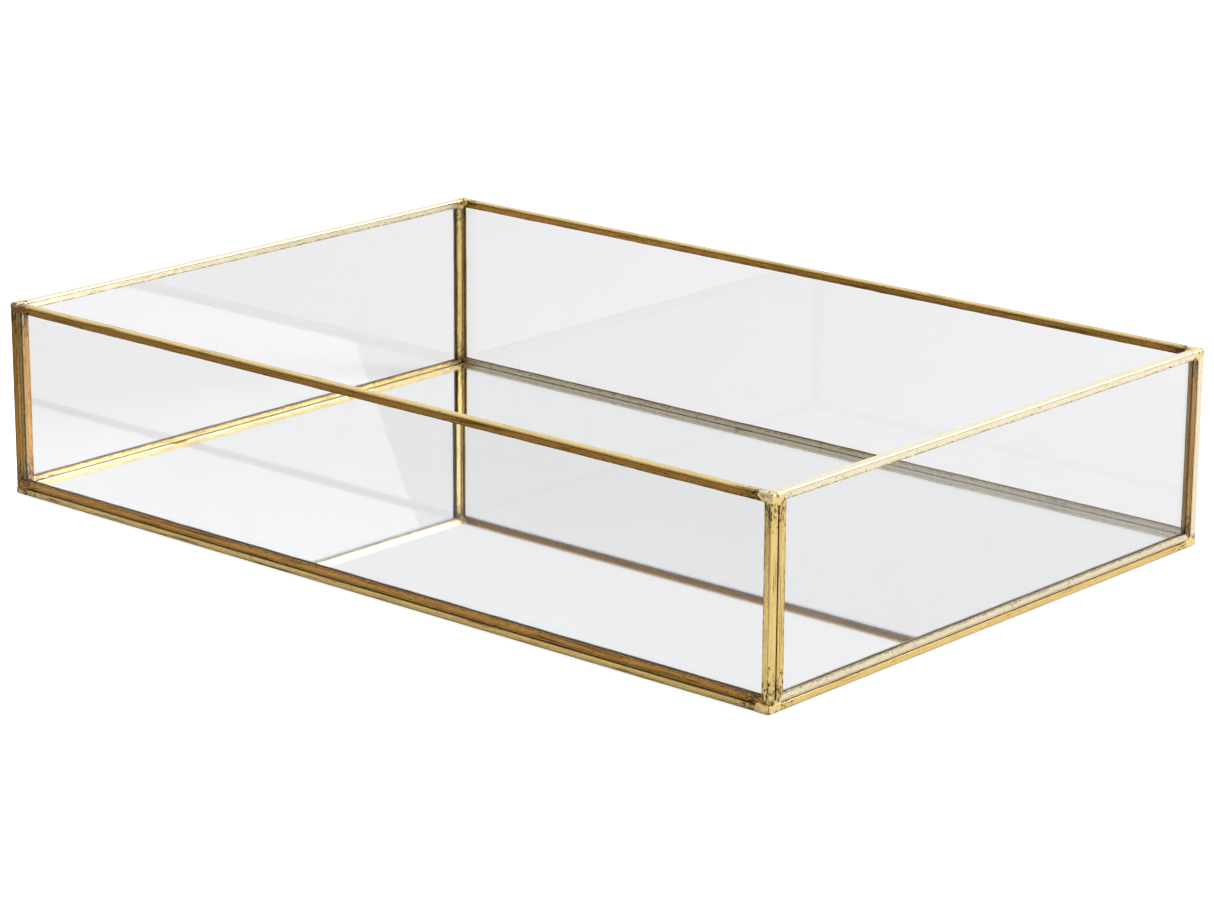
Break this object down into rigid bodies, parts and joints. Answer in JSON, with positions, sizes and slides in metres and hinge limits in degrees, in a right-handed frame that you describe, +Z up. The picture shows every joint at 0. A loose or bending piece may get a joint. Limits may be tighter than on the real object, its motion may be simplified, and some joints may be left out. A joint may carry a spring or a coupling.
{
  "type": "dresser vanity tray",
  "caption": "Shallow rectangular tray with a mirror floor and clear glass walls, each pane edged in folded brass channel and soldered at the corners.",
  "frame": {"origin": "middle of the tray on the surface that its felt pads stand on", "axes": "+X along the long walls, +Y from the front wall to the back wall, +Z up"},
  "size_m": [0.3006, 0.2016, 0.062],
  "materials": {
    "raw_brass": "raw brass, brushed and unevenly tarnished",
    "clear_glass": "clear polished float glass",
    "mirror": "silvered float glass, painted behind",
    "solder": "tin solder, filed and dulled",
    "felt": "pressed wool felt"
  },
  "bodies": {
    "root": {"front_glass": "clear_glass", "back_glass": "clear_glass", "left_glass": "clear_glass", "right_glass": "clear_glass", "base_glass": "clear_glass", "mirror_plate": "mirror", "front_frame_bottom": "raw_brass", "front_frame_right": "raw_brass", "front_frame_top": "raw_brass", "front_frame_left": "raw_brass", "back_frame_bottom": "raw_brass", "back_frame_right": "raw_brass", "back_frame_top": "raw_brass", "back_frame_left": "raw_brass", "left_frame_bottom": "raw_brass", "left_frame_back": "raw_brass", "left_frame_top": "raw_brass", "left_frame_front": "raw_brass", "right_frame_bottom": "raw_brass", "right_frame_back": "raw_brass", "right_frame_top": "raw_brass", "right_frame_front": "raw_brass", "base_frame_front": "raw_brass", "base_frame_right": "raw_brass", "base_frame_back": "raw_brass", "base_frame_left": "raw_brass", "top_solder_front_left": "solder", "top_solder_front_right": "solder", "top_solder_back_left": "solder", "top_solder_back_right": "solder", "bottom_solder_front_left": "solder", "bottom_solder_front_right": "solder", "bottom_solder_back_left": "solder", "bottom_solder_back_right": "solder", "felt_pad_front_left": "felt", "felt_pad_front_right": "felt", "felt_pad_back_left": "felt", "felt_pad_back_right": "felt"}
  },
  "joints": []
}
